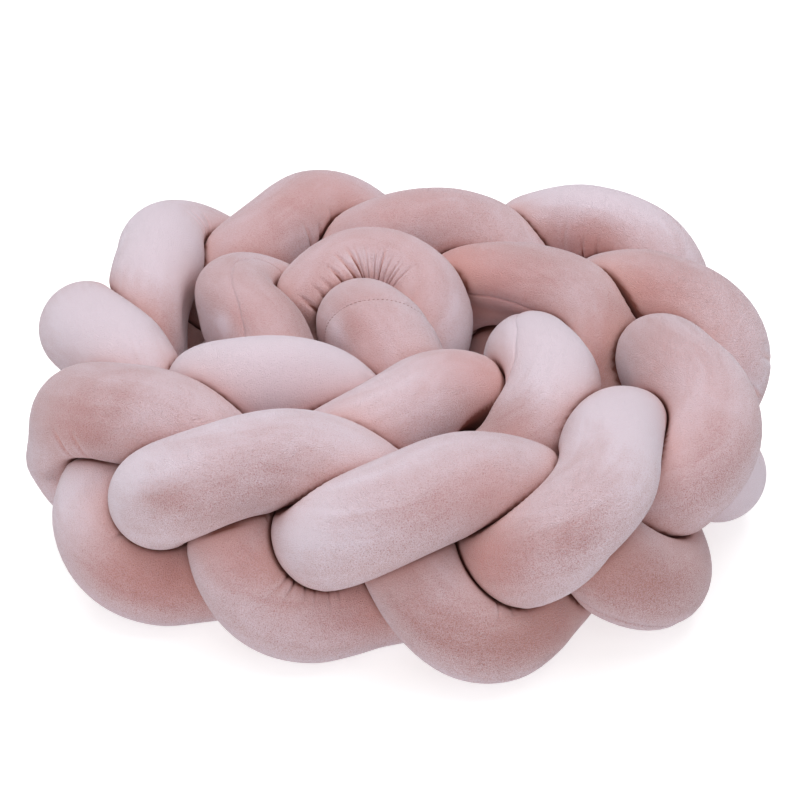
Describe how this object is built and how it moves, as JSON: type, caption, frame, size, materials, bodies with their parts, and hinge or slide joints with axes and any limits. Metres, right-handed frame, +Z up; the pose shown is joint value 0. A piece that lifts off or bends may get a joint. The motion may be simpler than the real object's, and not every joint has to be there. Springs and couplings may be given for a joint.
{
  "type": "braided crib bumper",
  "caption": "Stuffed velvet strands plaited into a thick braid that stands on its edge, coiled into a round; pads the inside of a crib.",
  "frame": {"origin": "on the surface that the braid rests on, under the middle of the coil's box", "axes": "+Z up, -Y towards the side from which the coil is seen in the picture, +X to the right of that view"},
  "size_m": [0.5749, 0.5612, 0.1839],
  "materials": {
    "velvet": "dusty rose velvet with a short brushed pile and a soft pale sheen"
  },
  "bodies": {
    "root": {"strand_1": "velvet", "strand_2": "velvet", "strand_3": "velvet"}
  },
  "joints": []
}
